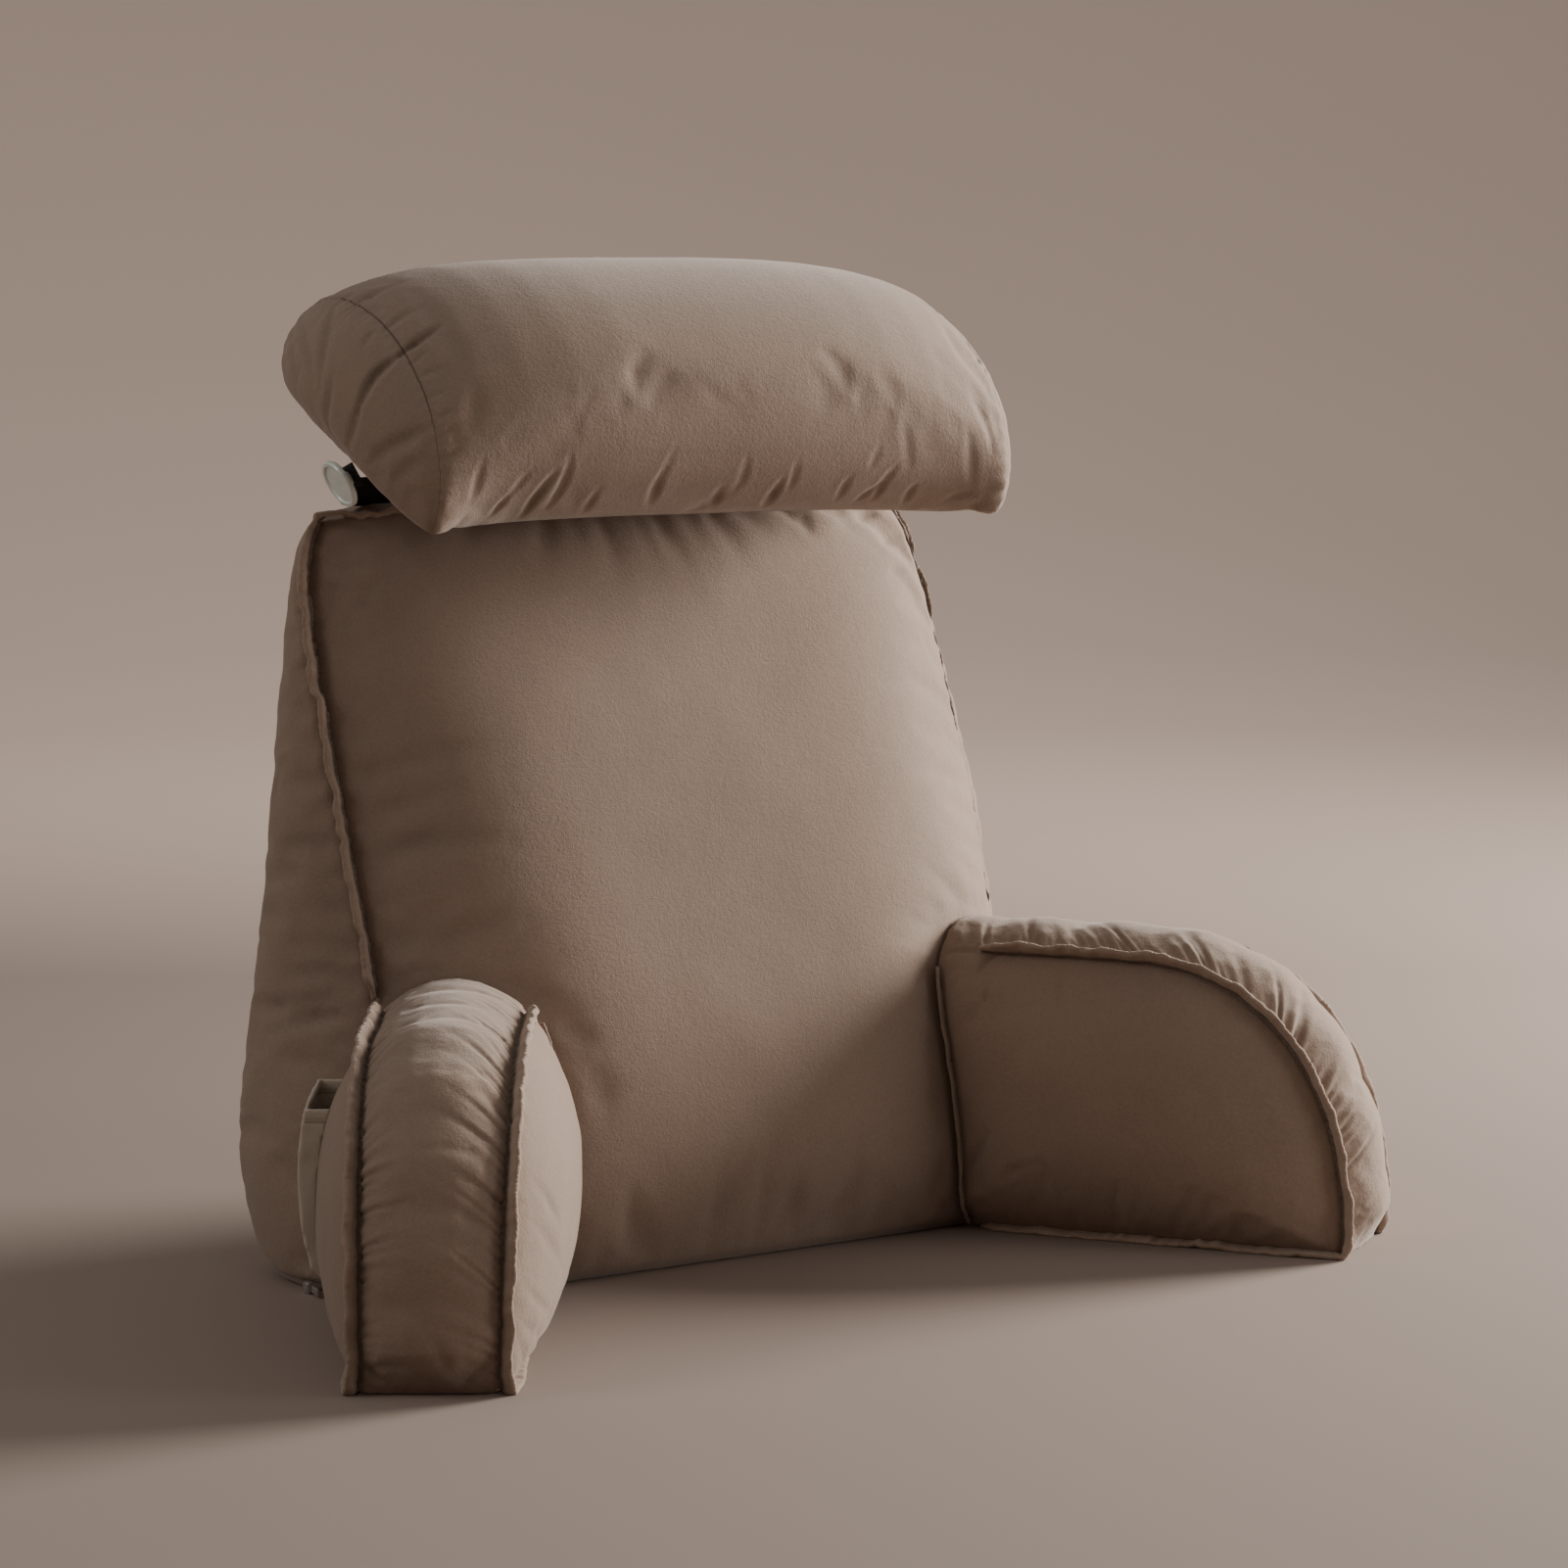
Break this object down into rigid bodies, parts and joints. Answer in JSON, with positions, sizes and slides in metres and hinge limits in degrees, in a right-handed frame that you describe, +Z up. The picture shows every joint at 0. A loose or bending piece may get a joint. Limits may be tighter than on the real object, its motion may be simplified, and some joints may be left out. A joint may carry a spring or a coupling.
{
  "type": "backrest pillow",
  "caption": "Wedge-shaped reading pillow with splayed padded arms, a buttoned headrest bolster and an outer side pocket, in taupe brushed cloth.",
  "frame": {"origin": "middle of the back cushion's flat base, on the surface that the pillow stands on", "axes": "+Z up, -Y the front that the sitter leans on, +X the sitter's left when seated facing -Y"},
  "size_m": [0.8623, 0.4896, 0.7032],
  "materials": {
    "brushed_cloth": "taupe brushed cloth with a soft sheen",
    "pocket_cloth": "smooth taupe cloth, a little paler",
    "black_elastic": "black ribbed elastic",
    "pearl_plastic": "pearly grey-white, glossy",
    "zip_metal": "bright worn metal"
  },
  "bodies": {
    "root": {"arm_left": "brushed_cloth", "arm_right": "brushed_cloth", "back_cushion": "brushed_cloth", "back_flange": "brushed_cloth", "button_left": "pearl_plastic", "button_right": "pearl_plastic", "flange_left_inner": "brushed_cloth", "flange_left_outer": "brushed_cloth", "flange_right_inner": "brushed_cloth", "flange_right_outer": "brushed_cloth", "headrest_bolster": "brushed_cloth", "join_strip_left": "brushed_cloth", "join_strip_right": "brushed_cloth", "side_pocket": "pocket_cloth", "strap_left": "black_elastic", "strap_right": "black_elastic", "zip_pull": "zip_metal", "zip_slider": "zip_metal"}
  },
  "joints": []
}
